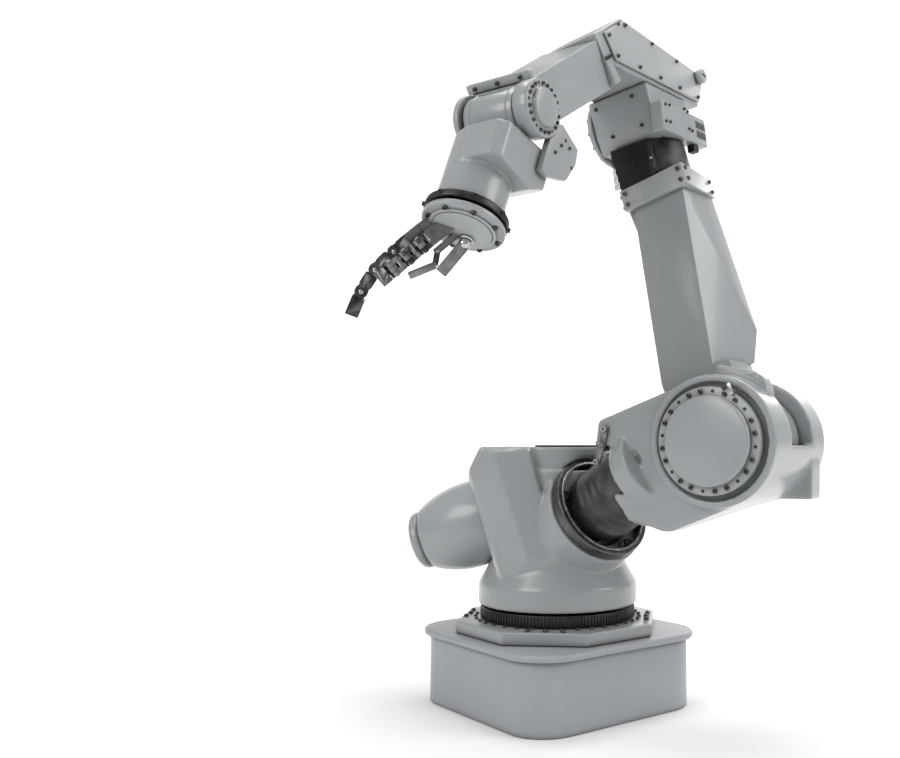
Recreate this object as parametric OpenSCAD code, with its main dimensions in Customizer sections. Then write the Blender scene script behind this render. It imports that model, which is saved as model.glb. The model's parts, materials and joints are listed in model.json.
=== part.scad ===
/* [Plinth] */
// Width of the plinth box across its flat sides
plinth_w = 444; // [430:1:460]
// Height of the plinth box under its top plate
plinth_box_h = 143; // [100:1:200]
// Corner radius of the plinth box
plinth_r = 84; // [70:1:96]
// Overhang of the plinth's top plate past the box
plinth_lip = 14; // [8:1:25]
// Thickness of the plinth's top plate
plinth_top_t = 14; // [8:1:25]
// Width of the foot plate across its flat sides
foot_w = 414; // [404:1:424]
// Length cut from each side of the foot plate at a corner
foot_cut = 122; // [110:1:130]
// Thickness of the foot plate
foot_t = 26; // [18:1:36]

/* [Turret] */
// Diameter of the slewing ring
slew_d = 332; // [320:1:344]
// Height of the slewing ring
slew_h = 26; // [20:1:32]
// Diameter of the turret's skirt
skirt_d = 344; // [338:1:356]
// Height of the turret's straight skirt
skirt_h = 44; // [36:1:52]
// Diameter of the turret's body above the skirt
turret_d = 236; // [226:1:246]
// Height of the turret's top face above the ground
turret_top_z = 550; // [542:1:558]
// Rise of the shoulder axis above the level, in degrees
shoulder_rise = 30; // [28:0.5:32]
// Reach of the shoulder ring's centre in front of the slewing axis
shoulder_x = 154; // [150:1:158]
// Height of the shoulder ring's centre above the ground
shoulder_z = 428; // [424:1:432]
// Diameter of the shoulder ring
shoulder_d = 222; // [218:1:228]
// Diameter of the bare shoulder shaft
shaft_d = 150; // [144:1:154]
// Length of bare shaft between the shoulder ring and the elbow fork
shaft_l = 112; // [104:1:120]
// Diameter of the motor cover behind the turret
motor_d = 190; // [180:1:200]
// Reach of the motor cover's cap from the slewing axis
motor_reach = 322; // [310:1:336]

/* [Elbow] */
// Turn of the elbow axis from the side of the robot, in degrees
elbow_yaw = 20.5; // [19:0.5:22]
// Reach of the elbow axis in front of the slewing axis
elbow_x = 417; // [412:1:422]
// Offset of the elbow's middle plane to the side of the slewing axis
elbow_y = 135; // [130:1:140]
// Height of the elbow axis above the ground
elbow_z = 560; // [555:1:565]
// Diameter of each fork arm round the elbow axis
fork_d = 246; // [238:1:254]
// Reach of the near fork arm's face from the elbow's middle plane
fork_near = 160; // [154:1:166]
// Reach of the far fork arm's face from the elbow's middle plane
fork_far = 146; // [138:1:154]
// Width of the slot between the fork arms
slot_w = 132; // [130:1:140]
// Diameter of the bolted elbow flange
elbow_flange_d = 198; // [188:1:206]
// Diameter of the smooth elbow cover
elbow_cover_d = 166; // [154:1:172]
// Diameter of the elbow pin
elbow_pin_d = 70; // [58:1:80]

/* [Upper arm] */
// Lean of the upper arm from upright, in degrees
arm_lean = 17; // [15:0.5:19]
// Distance from the elbow axis to the underside of the square flange
arm_l = 515; // [500:1:530]
// Diameter of the upper arm's hub round the elbow axis
hub_d = 190; // [182:1:194]
// Thickness of the upper arm between the fork arms
arm_t = 120; // [112:1:120]
// Side of the square flange on top of the upper arm
arm_flange_w = 146; // [142:1:156]
// Height of the square flange
arm_flange_h = 46; // [38:1:54]

/* [Head] */
// Turn of the head about the upper arm, in degrees
head_turn = 7; // [4:0.5:10]
// Cant of the head and forearm on the roll drum, in degrees
head_cant = 10; // [7:0.5:12]
// Diameter of the roll drum under the head
drum_d = 124; // [116:1:128]
// Height of the roll drum
drum_h = 82; // [76:1:88]
// Width of the lower head housing along the wrist axis
head_w = 160; // [152:1:168]
// Height of the lower head housing
head_h = 112; // [104:1:120]
// Diameter of the bolted disc on the head's far side
head_disc_d = 152; // [140:1:160]
// Width of the upper head housing
upper_w = 138; // [132:1:144]
// Fall of the forearm in front of the head, in degrees
forearm_fall = 32.6; // [31:0.2:34]
// Distance from the forearm's flange to the wrist axis
forearm_l = 322; // [310:1:334]
// Width of the forearm
forearm_w = 126; // [120:1:130]
// Height of the forearm at its flange
forearm_h = 96; // [90:1:102]

/* [Wrist] */
// Bend of the wrist from the forearm, in degrees
wrist_bend = 33; // [30:1:36]
// Diameter of the wrist drum
wrist_d = 86; // [82:1:90]
// Reach of the wrist drum from the middle of the forearm to its bolted disc
wrist_near = 64; // [62:1:68]
// Reach of the wrist drum from the middle of the forearm to its plain disc
wrist_far = 41; // [39:1:44]
// Diameter of the bolted wrist disc
wrist_disc_d = 100; // [96:1:104]
// Distance from the wrist axis to the dark tool ring
bell_l = 198; // [190:1:206]
// Width of the wrist bell under the wrist drum
bell_d = 142; // [136:1:148]
// Diameter of the dark tool ring
tool_ring_d = 142; // [136:1:148]

/* [Hand] */
// Turn of the hand about the tool axis, in degrees
hand_turn = 165; // [155:1:175]
// Width of a finger
finger_w = 26; // [24:1:28]
// Thickness of a finger
finger_t = 22; // [20:1:24]
// Distance between the pins of the front finger
front_l = 30; // [29:1:34]
// Distance between the pins of the rear finger
rear_l = 43; // [40:1:46]

/* [Hidden] */
$fn = 72;

// Gap of a journal in its bore, gap between faces that turn past each other, overlap of a cut
fit = 0.4;
run = 5;
cut = 1;
big = 1200;

plinth_z = plinth_box_h + plinth_top_t;
slew_z = plinth_z + foot_t;
skirt_z = slew_z + slew_h + run;
slew_wall = 45;
slew_journal_d = slew_d - 2 * slew_wall;
top_cover_t = 3;
// Roll panel: near corner and size across the drum
panel_at = [-66, -68];
panel_size = [92, 50];
// Head housing: foot, flanks and top corners along the head, height of its flank, set-back of its far side
head_foot = [-48, 54];
head_flank = [-66, 74];
head_crown = [-82, 74];
head_flank_h = 34;
head_inset = 12;
head_disc_rise = 66;
// Motor box beside the head: its start along the head, and its size
motor_box_start = -80;
motor_box_size = [30, 176, 62];
// Upper housing: nose, tail and heel over the head's top, end of its foot, set-back of its side cover
upper_nose = [-148, 112];
upper_tail = [152, 84];
upper_heel = [166, 62];
upper_foot = 134;
side_cover_inset = 8;
// Vent knob on the side cover
knob_at = [136, 66];
knob_l = 16;
// Overhang of the forearm's flange past the upper housing
flange_lip = 2;
// Cone of the collar that clears the shoulder ring: its start, width and length
collar_lead = 12;
collar_flare = 90;
collar_l = 110;

bezel = 5;
ring_l = 26;
ring_wall = 14;
barrel_l = 250;
shaft_depth = 46;
shaft_seat = 64;
lug_d = 16;
lug_h = 16;
lugs = 8;

gear_yaw = 40;
gear_tilt = -18;
gear_z = 396;
gear_left = -134;
gear_front = -140;
gear_back = 110;
gear_mid = 6;
gear_right = 30;
gear_low = -112;
gear_high = 200;
motor_z = 42;
motor_cap_d = 128;
motor_cap_l = 26;
valley_d = 2 * 142;
valley_l = 120;
valley_top = 52;
shoulder_fall = 96;

root_top_slope = 20;
root_low_slope = 22;
root_low = 170;
root_far = 330;
root_near = 140;
recess_h = 12;
groove_w = 10;
shroud_t = 38;
shroud_h = 146;
tab_from = -120;
tab_t = 60;
collar_r = 106;
notch_r = 46;
notch_at = [-196, -54];
bridge_wall = 20;
elbow_flange_t = 26;
elbow_cover_t = 12;

spigot_h = run - fit;
spigot_d = drum_d - 40;
head_z = run + drum_h;
head_top = head_z + head_h;
flange_y = -203;
flange_z = head_top + 14;
flange_half = 52;
forearm_flange_t = 24;
forearm_twist = 6.7;
forearm_yaw = 3.6;
wrist_end_h = 86;
end_plate_h = 17;
end_plate_t = 14;
side_cover_t = 6;
knob_d = 32;

disc_t = 30;
far_disc_t = 12;
cap_d = 66;
cap_t = 8;
wrist_journal_d = 52;
wrist_journal_l = 20;
saddle_d = wrist_disc_d + 2 * fit;
bell_far = 42;
bell_top = 62;
bell_step = 130;
bell_shift = 30;
bell_over = 12;
lug_t = 14;
bell_neck_d = 116;
tool_ring_h = 13;
tool_gap = run;
tool_flange_h = 10;
tool_journal_d = 84;
tool_seat = 29;

palm_d = 100;
root_l = 40;
palm_h = 5;
front_at = [42, -7, 25];
front_turn = [40, -47, 6];
front_curl = [0, -2, -2, -3];
rear_at = [30, -19, -30];
rear_curl = [0, 4, 13, 10];
thumb_at = [1, 21, 26];
thumb_turn = [35, -55, 17];
finger_start = 13;
finger_gap = 12;
tongue_w = finger_w / 3;
cheek_w = finger_w / 2 - tongue_w / 2;
cheek_r = finger_t / 2 - 0.5;
pin_r = 3;
tongue_r = 6;
neck_from = pin_r + fit + cut;
neck_h = 7;

grey = [0.70, 0.71, 0.72];
pale = [0.78, 0.79, 0.80];
dark = [0.25, 0.26, 0.27];
steel = [0.42, 0.43, 0.43];
hand = [0.38, 0.39, 0.40];

// Frames of the moving pieces, each one carried by the one before
module at_gear() {
    translate([0, 0, gear_z]) rotate([0, 0, gear_yaw]) rotate([0, gear_tilt, 0]) children();
}
module at_motor() {
    at_gear() translate([gear_left, 0, motor_z]) rotate([0, -90, 0]) children();
}
module at_shoulder() {
    translate([shoulder_x, 0, shoulder_z]) rotate([0, 90 - shoulder_rise, 0]) children();
}
module at_elbow() {
    translate([elbow_x, elbow_y, elbow_z]) rotate([90, 0, elbow_yaw]) children();
}
module at_arm() {
    at_elbow() rotate([0, 0, arm_lean]) rotate([-90, 0, 0]) children();
}
module at_head() {
    at_arm() translate([0, 0, arm_l + arm_flange_h]) rotate([0, 0, -head_turn]) children();
}
module at_canted_head() {
    at_head() translate([0, 0, head_top]) rotate([0, head_cant, 0]) translate([0, 0, -head_top]) children();
}
module at_forearm_flange() {
    at_canted_head() translate([0, flange_y, flange_z]) rotate([forearm_fall, 0, 0]) children();
}
module at_forearm() {
    at_canted_head() translate([0, flange_y, flange_z])
        rotate([forearm_fall, forearm_twist, forearm_yaw]) children();
}
module at_wrist() {
    at_forearm() translate([0, -forearm_l, 0]) rotate([wrist_bend + 90, 0, 0]) children();
}
module at_tool() {
    at_wrist() translate([0, 0, bell_l + tool_ring_h + tool_gap]) rotate([0, 0, hand_turn]) children();
}

// Shapes that repeat
module rounded_slab(w, h, r) {
    for (a = [0, 90]) {
        rotate([0, 0, a]) translate([-w / 2, -w / 2 + r, 0]) cube([w, w - 2 * r, h]);
    }
    for (x = [-1, 1], y = [-1, 1]) {
        translate([x * (w / 2 - r), y * (w / 2 - r), 0]) cylinder(r = r, h = h);
    }
}
module along_x(d, from, to) {
    translate([from, 0, 0]) rotate([0, 90, 0]) cylinder(d = d, h = to - from);
}
module along_y(d, from, to) {
    translate([0, to, 0]) rotate([90, 0, 0]) cylinder(d = d, h = to - from);
}
module side_profile(points, from, to) {
    translate([from, 0, 0]) rotate([90, 0, 90]) linear_extrude(to - from) polygon(points);
}
module front_profile(points, from, to) {
    translate([0, to, 0]) rotate([90, 0, 0]) linear_extrude(to - from) polygon(points);
}

// Base
module plinth_box() {
    color(pale) rounded_slab(plinth_w, plinth_box_h, plinth_r);
}
module plinth_top_plate() {
    color(pale) translate([0, 0, plinth_box_h])
        rounded_slab(plinth_w + 2 * plinth_lip, plinth_top_t, plinth_r + plinth_lip);
}
module foot_plate() {
    half = foot_w / 2;
    far = half - foot_cut;
    color(grey) translate([0, 0, plinth_z]) linear_extrude(foot_t)
        polygon([[far, half], [half, far], [half, -far], [far, -half],
                 [-far, -half], [-half, -far], [-half, far], [-far, half]]);
}
module slew_ring() {
    color(dark) translate([0, 0, slew_z]) difference() {
        cylinder(d = slew_d, h = slew_h);
        translate([0, 0, -cut]) cylinder(d = slew_journal_d + 2 * fit, h = slew_h + 2 * cut);
    }
}

// Turret
module gear_solid() {
    plan = [[gear_left, gear_back], [gear_left, gear_front + 20], [gear_left + 14, gear_front],
            [gear_mid, gear_front], [gear_right, gear_front + 40], [gear_right, gear_back]];
    front = [[gear_left, gear_low + 28], [gear_left, gear_high - 62], [gear_left + 60, gear_high],
             [gear_right, gear_high], [gear_right, gear_low], [gear_left + 33, gear_low]];
    intersection() {
        translate([0, 0, -big / 2]) linear_extrude(big) polygon(plan);
        front_profile(front, -big / 2, big / 2);
    }
}
module above(z) {
    translate([-big / 2, -big / 2, z]) cube(big);
}
module turret_casting() {
    color(grey) difference() {
        union() {
            translate([0, 0, skirt_z]) rotate_extrude() polygon([[0, 0], [skirt_d / 2, 0], [skirt_d / 2, skirt_h],
                [skirt_d / 2 - 14, skirt_h + 24], [turret_d / 2, skirt_h + shoulder_fall], [0, skirt_h + shoulder_fall]]);
            translate([0, 0, slew_z + run]) cylinder(d = slew_journal_d, h = skirt_z - slew_z);
            difference() {
                translate([0, 0, skirt_z]) cylinder(d = turret_d, h = turret_top_z - skirt_z);
                difference() {
                    at_shoulder() translate([0, 0, -valley_l]) cylinder(d = valley_d, h = big);
                    above(turret_top_z - valley_top);
                }
            }
            intersection() {
                at_shoulder() translate([0, 0, -barrel_l])
                    cylinder(d = shoulder_d + 2 * bezel, h = barrel_l - ring_l);
                above(skirt_z);
            }
        }
        at_shoulder() translate([0, 0, -ring_l - shaft_depth]) cylinder(d = shaft_d + 2 * fit, h = big);
        at_shoulder() translate([0, 0, -ring_l]) cylinder(d = shoulder_d, h = big);
        above(turret_top_z);
        at_gear() gear_solid();
        at_motor() cylinder(d = motor_d + 2 * fit, h = big);
    }
}
module turret_top_cover() {
    color(dark) difference() {
        translate([0, 0, turret_top_z]) cylinder(d = turret_d - 2 * bezel, h = top_cover_t);
        at_gear() gear_solid();
        at_shoulder() translate([0, 0, -ring_l]) cylinder(d = shoulder_d, h = big);
    }
}
module gear_housing() {
    color(grey) difference() {
        at_gear() gear_solid();
        at_shoulder() translate([0, 0, -valley_l]) cylinder(d = valley_d, h = big);
        above(turret_top_z);
        translate([0, 0, skirt_z - big]) cylinder(d = big, h = big);
    }
}
module motor_cover() {
    l = motor_reach + gear_left - motor_cap_l;
    straight = l * 0.35;
    drop = motor_d / 2 - motor_cap_d / 2 - bezel;
    round_r = (pow(l - straight, 2) + drop * drop) / (2 * drop);
    color(grey) at_motor() rotate_extrude() {
        square([motor_d / 2, straight]);
        intersection() {
            square([motor_d / 2, l]);
            translate([motor_d / 2 - round_r, straight]) circle(r = round_r, $fn = 360);
        }
    }
}
module motor_cap() {
    color(grey) at_motor() translate([0, 0, motor_reach + gear_left - motor_cap_l])
        cylinder(d = motor_cap_d, h = motor_cap_l);
}
module shoulder_ring() {
    color(dark) at_shoulder() translate([0, 0, -ring_l]) difference() {
        cylinder(d = shoulder_d, h = ring_l);
        translate([0, 0, -cut]) cylinder(d = shoulder_d - 2 * ring_wall, h = ring_l + 2 * cut);
    }
}
module bearing_lugs() {
    color(steel) at_shoulder() translate([0, 0, -ring_l]) {
        for (k = [0 : lugs - 1]) {
            rotate([0, 0, (k + 0.5) * 360 / lugs])
                translate([shoulder_d / 2 - ring_wall - lug_d / 2 - fit, 0, 0])
                    cylinder(d = lug_d, h = lug_h);
        }
    }
}

// Elbow link
module shoulder_shaft() {
    color(steel) at_shoulder() translate([0, 0, -ring_l - shaft_depth + cut])
        cylinder(d = shaft_d, h = ring_l + shaft_depth + shaft_l + shaft_seat - cut);
}
module fork_outline() {
    radius = fork_d / 2;
    top = radius * [-sin(root_top_slope), cos(root_top_slope)];
    low = radius * [sin(root_low_slope), -cos(root_low_slope)];
    low_run = (root_low + low[1]) / sin(root_low_slope);
    circle(d = fork_d);
    polygon([top, top - root_far * [cos(root_top_slope), sin(root_top_slope)], [-root_far, -root_low],
             [low[0] - low_run * cos(root_low_slope), -root_low], low]);
}
module shroud_outline() {
    polygon([[-12, 0], [-12, shroud_h], [64, shroud_h - 16], [82, shroud_h - 28], [92, shroud_h - 56], [40, 0]]);
}
module tab_outline() {
    polygon([[70, -40], [fork_d / 2 - 2, -40], [fork_d / 2 - 4, -114], [40, -114]]);
}
module slot_outline() {
    clear = hub_d / 2 + run;
    circle(r = clear);
    polygon([[-96, -clear * 0.4], [-184, 92], [-184, fork_d], [fork_d, fork_d], [fork_d, -16], [0, 0]]);
    polygon([[0, 0], [clear * 0.8, -clear * 0.6], [fork_d / 2 - bridge_wall, -16], [fork_d / 2 - bridge_wall, 0]]);
}
module elbow_fork() {
    color(grey) difference() {
        at_elbow() difference() {
            union() {
                translate([0, 0, -fork_far]) linear_extrude(fork_far + root_near) fork_outline();
                translate([0, 0, -fork_far]) cylinder(d = fork_d, h = fork_far + fork_near);
                translate([0, 0, slot_w / 2]) linear_extrude(shroud_t) shroud_outline();
                translate([0, 0, tab_from]) linear_extrude(tab_t) tab_outline();
            }
            translate([0, 0, fork_near - recess_h]) cylinder(d = elbow_flange_d + 2 * groove_w, h = big);
            translate([0, 0, -slot_w / 2]) linear_extrude(slot_w) slot_outline();
            translate([0, 0, -big / 2]) cylinder(d = elbow_pin_d, h = big);
            translate([notch_at[0], notch_at[1], slot_w / 2]) cylinder(r = notch_r, h = big);
            translate([0, 0, slot_w / 2]) linear_extrude(big)
                polygon([notch_at + [-20, notch_r], notch_at + [-200, notch_r], notch_at + [-200, -notch_r],
                         notch_at + [0, -notch_r]]);
        }
        at_shoulder() translate([-big / 2, -big / 2, shaft_l - big]) cube(big);
        at_shoulder() cylinder(d = shaft_d, h = shaft_l + shaft_seat);
        at_shoulder() translate([0, 0, shaft_l]) rotate_extrude() polygon([
            [collar_r, -cut], [collar_r, collar_lead], [collar_r + collar_flare, collar_l],
            [big / 2, collar_l], [big / 2, -cut]]);
    }
}
module elbow_flange() {
    color(grey) at_elbow() translate([0, 0, fork_near - recess_h])
        cylinder(d = elbow_flange_d, h = elbow_flange_t);
}
module elbow_cover() {
    color(grey) at_elbow() translate([0, 0, fork_near - recess_h + elbow_flange_t])
        cylinder(d = elbow_cover_d, h = elbow_cover_t);
}
module elbow_far_cover() {
    color(grey) at_elbow() translate([0, 0, -fork_far - elbow_cover_t])
        cylinder(d = elbow_cover_d, h = elbow_cover_t);
}
module elbow_pin() {
    color(steel) at_elbow() translate([0, 0, -fork_far])
        cylinder(d = elbow_pin_d, h = fork_far + fork_near - recess_h);
}
module cable_bracket() {
    color(grey) at_shoulder() translate([-shaft_d / 2 - 30, -40, shaft_l - 30]) cube([24, 34, 30]);
}

// Upper arm
module arm_plan(z, left, crease, right) {
    translate([0, 0, z]) linear_extrude(cut)
        polygon([[left, -arm_t / 2], [crease, -arm_t / 2], [right, arm_t / 2], [left, arm_t / 2]]);
}
module upper_arm() {
    color(grey) at_arm() difference() {
        union() {
            along_y(hub_d, -arm_t / 2, arm_t / 2);
            front_profile([[-hub_d / 2, 0], [-106, 152], [44, 152], [50, 60], [hub_d / 2 - 6, 0]], -arm_t / 2, arm_t / 2);
            hull() {
                arm_plan(150, -106, 9, 52);
                arm_plan(213, -97, 17, 78);
                arm_plan(arm_l - cut, -58, 56, 70);
            }
            front_profile([[-66, arm_l - 60], [-arm_flange_w / 2, arm_l], [0, arm_l], [0, arm_l - 60]], -arm_t / 2 + 10, arm_t / 2 - 10);
        }
        along_y(elbow_pin_d + 2 * fit, -big / 2, big / 2);
    }
}
module upper_arm_flange() {
    color(pale) at_arm() translate([0, 0, arm_l]) {
        translate([-arm_flange_w / 2, -arm_flange_w / 2, 0]) cube([arm_flange_w, arm_flange_w, arm_flange_h]);
        translate([0, 0, arm_flange_h]) cylinder(d = spigot_d, h = spigot_h);
    }
}

// Head and forearm
module under_head() {
    at_canted_head() translate([-big / 2, -big / 2, head_z - big]) cube(big);
}
module roll_drum() {
    color(steel) intersection() {
        at_head() translate([0, 0, run]) cylinder(d = drum_d, h = 2 * drum_h);
        under_head();
    }
}
module roll_panel() {
    color(dark) intersection() {
        at_head() difference() {
            translate([panel_at[0], panel_at[1], run]) cube([panel_size[0], panel_size[1], 2 * drum_h]);
            cylinder(d = drum_d + 2 * fit, h = big);
        }
        under_head();
    }
}
module head_housing() {
    color(grey) at_canted_head() side_profile([
        [head_foot[0], head_z], [head_flank[0], head_z + head_flank_h], [head_crown[0], head_top],
        [head_crown[1], head_top], [head_flank[1], head_z + head_flank_h], [head_foot[1], head_z]],
        -head_w / 2, head_w / 2 - head_inset);
}
module head_disc() {
    color(grey) at_canted_head() translate([0, 0, head_z + head_disc_rise])
        along_x(head_disc_d, -head_w / 2 - far_disc_t, -head_w / 2);
}
module head_motor_box() {
    color(pale) at_canted_head() translate([head_w / 2 - head_inset, motor_box_start, head_z])
        cube(motor_box_size);
}
module upper_outline(inset) {
    offset(delta = -inset) polygon([
        [flange_y - flange_half * sin(forearm_fall), flange_z + flange_half * cos(forearm_fall)],
        upper_nose + [0, head_top], upper_tail + [0, head_top], upper_heel + [0, head_top],
        [upper_foot, head_top],
        [flange_y + (flange_z - head_top) * tan(forearm_fall), head_top]]);
}
module upper_housing() {
    color(grey) at_canted_head() translate([-upper_w / 2, 0, 0]) rotate([90, 0, 90])
        linear_extrude(upper_w) upper_outline(0);
}
module side_cover() {
    color(pale) at_canted_head() translate([upper_w / 2, 0, 0]) rotate([90, 0, 90])
        linear_extrude(side_cover_t) upper_outline(side_cover_inset);
}
module vent_knob() {
    color(pale) at_canted_head() translate([0, knob_at[0], head_top + knob_at[1]])
        along_x(knob_d, upper_w / 2 + side_cover_t, upper_w / 2 + side_cover_t + knob_l);
}
module forearm_flange() {
    color(grey) at_forearm_flange() translate([-upper_w / 2 - flange_lip, -forearm_flange_t, -flange_half])
        cube([upper_w + 2 * flange_lip, forearm_flange_t, 2 * flange_half]);
}
module forearm_box() {
    end = forearm_l - wrist_d / 2 + 24;
    color(grey) difference() {
        at_forearm() difference() {
            side_profile([[0, -forearm_h / 2], [0, forearm_h / 2], [-end, wrist_end_h / 2], [-end, -wrist_end_h / 2 + 20],
                [-end + 30, -wrist_end_h / 2]], -forearm_w / 2, forearm_w / 2);
            translate([0, -forearm_l, 0]) {
                along_x(wrist_d + 2 * fit, -big / 2, big / 2);
                along_x(wrist_disc_d + 2 * run, wrist_near - run, big);
                along_x(wrist_disc_d + 2 * run, -big, run - wrist_far);
            }
        }
        at_forearm_flange() translate([-big / 2, -forearm_flange_t, -big / 2]) cube(big);
    }
}
module forearm_end_plate() {
    color(grey) at_forearm() translate([-forearm_w / 2 - 6, -forearm_l + 36, wrist_end_h / 2 + 0.8])
        cube([forearm_w + 12, end_plate_t, end_plate_h]);
}
module wrist_drum() {
    color(grey) at_forearm() translate([0, -forearm_l, 0]) difference() {
        along_x(wrist_d, -wrist_far, wrist_near);
        along_x(wrist_journal_d + 2 * fit, -wrist_far - cut, -wrist_far + wrist_journal_l + cut);
        along_x(wrist_journal_d + 2 * fit, wrist_near - wrist_journal_l - cut, wrist_near + cut);
    }
}

// Wrist
module wrist_bell() {
    color(grey) at_wrist() difference() {
        union() {
            intersection() {
                side_profile([[bell_d / 2 - 10, bell_top], [bell_d / 2 - 12, bell_step], [30 - bell_d / 2, bell_l - 64],
                    [-bell_d / 2 - 22, bell_top + 36], [-bell_d / 2 - 22, bell_top - 20]], -bell_far, wrist_near + run + bell_over);
                translate([bell_shift, -14, 0]) rotate([0, 0, 22.5]) cylinder(d = bell_d + 26, h = bell_l, $fn = 8);
            }
            translate([0, 0, bell_top]) cylinder(d = bell_neck_d, h = bell_l - bell_top);
        }
        along_x(saddle_d, -big / 2, big / 2);
        translate([0, 0, bell_l - 30]) cylinder(d = tool_journal_d + 2 * fit, h = big);
    }
}
module wrist_disc() {
    face = wrist_near + run;
    color(grey) at_wrist() {
        along_x(wrist_disc_d, face, face + disc_t);
        along_x(wrist_journal_d, wrist_near - wrist_journal_l, face + cut);
        along_x(cap_d, face + disc_t - cut, face + disc_t + cap_t);
    }
}
module wrist_far_disc() {
    face = wrist_far + run;
    color(grey) at_wrist() {
        along_x(wrist_disc_d, -face - far_disc_t, -face);
        along_x(wrist_journal_d, -face - cut, -wrist_far + wrist_journal_l);
    }
}
module wrist_clamp_lug() {
    color(grey) at_wrist() difference() {
        side_profile([[-118, -4], [-122, 26], [-108, 70], [-60, 96], [-40, 96], [-40, 20], [-60, -16]], wrist_near + run + bell_over, wrist_near + run + bell_over + lug_t);
        along_x(saddle_d, -big / 2, big / 2);
    }
}
module tool_ring() {
    color(dark) at_wrist() translate([0, 0, bell_l]) difference() {
        cylinder(d = tool_ring_d, h = tool_ring_h);
        translate([0, 0, -cut]) cylinder(d = tool_journal_d + 2 * fit, h = tool_ring_h + 2 * cut);
    }
}

// Hand
module tool_flange() {
    color(pale) at_tool() {
        cylinder(d = tool_ring_d - 2, h = tool_flange_h);
        translate([0, 0, -tool_gap - tool_ring_h - tool_seat]) cylinder(d = tool_journal_d,
            h = tool_gap + tool_ring_h + tool_seat + cut);
    }
}
module at_front(k) {
    if (k == 0) {
        at_tool() translate(front_at) rotate(front_turn) children();
    } else {
        at_front(k - 1) translate([front_l, 0, 0]) rotate([0, front_curl[k], 0]) children();
    }
}
module at_rear(k) {
    if (k == 0) {
        at_front(0) translate(rear_at) rotate([90, 0, 0]) children();
    } else {
        at_rear(k - 1) translate([rear_l, 0, 0]) rotate([0, rear_curl[k], 0]) children();
    }
}
module palm() {
    low = rear_at[2] - finger_w / 2;
    left = rear_at[1] - finger_t / 2;
    color(hand) intersection() {
        union() {
            at_tool() cylinder(d = palm_d, h = tool_flange_h + palm_h);
            at_front(0) {
                translate([-root_l, -finger_w / 2, -finger_t / 2]) cube([root_l + finger_start, finger_w, finger_t]);
                translate([-root_l, left, low]) cube([root_l + rear_at[0] + finger_start, finger_t, finger_w]);
                translate([-root_l, left, low]) cube([root_l + finger_start, finger_w / 2 - left, -low]);
                translate([-root_l, finger_w / 2 + run, -16]) cube([root_l + 22, 11, 12]);
            }
        }
        at_tool() above(tool_flange_h);
    }
}
module thumb() {
    color(pale) at_tool() {
        translate([thumb_at[0], thumb_at[1], tool_flange_h + palm_h]) cylinder(d = 12, h = 8);
        translate(thumb_at) sphere(d = 20);
        translate(thumb_at) rotate(thumb_turn) translate([4, -10, -8]) cube([58, 20, 16]);
    }
}
module lower_finger() {
    color(hand) at_front(0) translate([35, finger_w / 2 + 26, -12]) rotate([0, 0, -17])
        translate([0, -6, 0]) cube([46, 12, 13]);
}
module finger_block(l, first, last) {
    from = first ? finger_start : finger_gap;
    tongue = tongue_w - 2 * fit;
    difference() {
        union() {
            translate([from, -finger_w / 2, -finger_t / 2]) cube([last ? l - from : l - finger_gap - from, finger_w, finger_t]);
            if (!first) {
                along_y(2 * tongue_r, -tongue / 2, tongue / 2);
                translate([neck_from, -tongue / 2, -neck_h / 2]) cube([finger_gap + cut - neck_from, tongue, neck_h]);
            }
            if (!last) {
                for (y = [-finger_w / 2, tongue_w / 2]) {
                    translate([l, y + cheek_w / 2, 0]) along_y(2 * cheek_r, -cheek_w / 2, cheek_w / 2);
                    translate([l - finger_gap - cut, y, 1 - cheek_r]) cube([finger_gap + cut, cheek_w, 2 * cheek_r - 2]);
                }
                translate([l, 0, 0]) along_y(2 * pin_r, -tongue_w / 2 - cut, tongue_w / 2 + cut);
            }
        }
        if (!first) {
            along_y(2 * pin_r + 2 * fit, -finger_w, finger_w);
        }
    }
}
module front_finger(k) {
    color(hand) at_front(k) finger_block(front_l, k == 0, k == 3);
}
module rear_finger(k) {
    color(dark) at_rear(k) finger_block(rear_l, k == 0, k == 3);
}

plinth_box();
plinth_top_plate();
foot_plate();
slew_ring();
turret_casting();
turret_top_cover();
gear_housing();
motor_cover();
motor_cap();
shoulder_ring();
bearing_lugs();
shoulder_shaft();
elbow_fork();
elbow_flange();
elbow_cover();
elbow_far_cover();
elbow_pin();
cable_bracket();
upper_arm();
upper_arm_flange();
roll_drum();
roll_panel();
head_housing();
head_disc();
head_motor_box();
upper_housing();
side_cover();
vent_knob();
forearm_flange();
forearm_box();
forearm_end_plate();
wrist_drum();
wrist_bell();
wrist_disc();
wrist_far_disc();
wrist_clamp_lug();
tool_ring();
tool_flange();
palm();
thumb();
lower_finger();
front_finger(0);  // front_finger_1
front_finger(1);  // front_finger_2
front_finger(2);  // front_finger_3
front_finger(3);  // front_finger_4
rear_finger(0);  // rear_finger_1
rear_finger(1);  // rear_finger_2
rear_finger(2);  // rear_finger_3
rear_finger(3);  // rear_finger_4
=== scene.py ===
"""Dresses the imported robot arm: paint, machined metal, fasteners, ribs, floor, light and camera."""

import json
import math

import bmesh
import bpy
from mathutils import Matrix, Vector


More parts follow.
